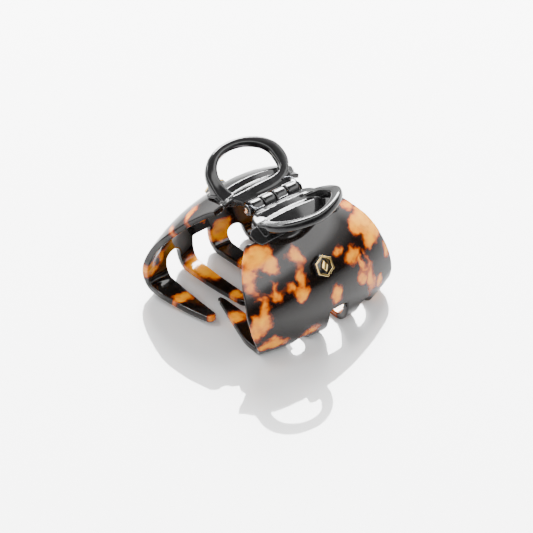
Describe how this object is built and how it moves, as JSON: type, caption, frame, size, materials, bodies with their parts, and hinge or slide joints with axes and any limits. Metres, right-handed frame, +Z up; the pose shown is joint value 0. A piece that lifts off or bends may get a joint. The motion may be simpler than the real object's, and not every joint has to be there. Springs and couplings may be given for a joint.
{
  "type": "claw clip",
  "caption": "Sprung hair claw clip: curved toothed jaws hinged at the top, each with an oval finger loop and a small badge.",
  "frame": {"origin": "centre of the clip's footprint, on the surface it stands on", "axes": "+X along the hinge pin, +Z up from the teeth to the finger loops, +Y towards the back jaw"},
  "size_m": [0.0802, 0.0752, 0.0569],
  "materials": {
    "tortoise": "polished tortoiseshell acetate",
    "black": "polished black",
    "steel": "bright wire",
    "copper": "copper-plated",
    "gold": "polished gold-plated"
  },
  "bodies": {
    "front_jaw": {"front_shell": "tortoise", "front_handle": "black", "front_emblem_base": "black", "front_emblem_frame": "gold", "front_emblem_lozenge": "gold", "front_fixing_pin_1": "steel", "front_fixing_pin_2": "steel", "hinge_pin": "copper", "pin_washer_left": "steel", "pin_washer_right": "steel", "torsion_spring": "steel"},
    "back_jaw": {"back_shell": "tortoise", "back_handle": "black", "back_emblem_base": "black", "back_emblem_frame": "gold", "back_emblem_lozenge": "gold", "back_fixing_pin_1": "steel", "back_fixing_pin_2": "steel"}
  },
  "joints": [
    {"name": "jaw_hinge", "type": "hinge", "parent": "front_jaw", "child": "back_jaw", "pos_m": [0.002, 0, 0.0446], "axis": [1, 0, 0], "range_deg": [0, 60], "stiffness_Nm_per_rad": 0.08, "springref_deg": -57.3, "deforming": ["torsion_spring"]}
  ]
}
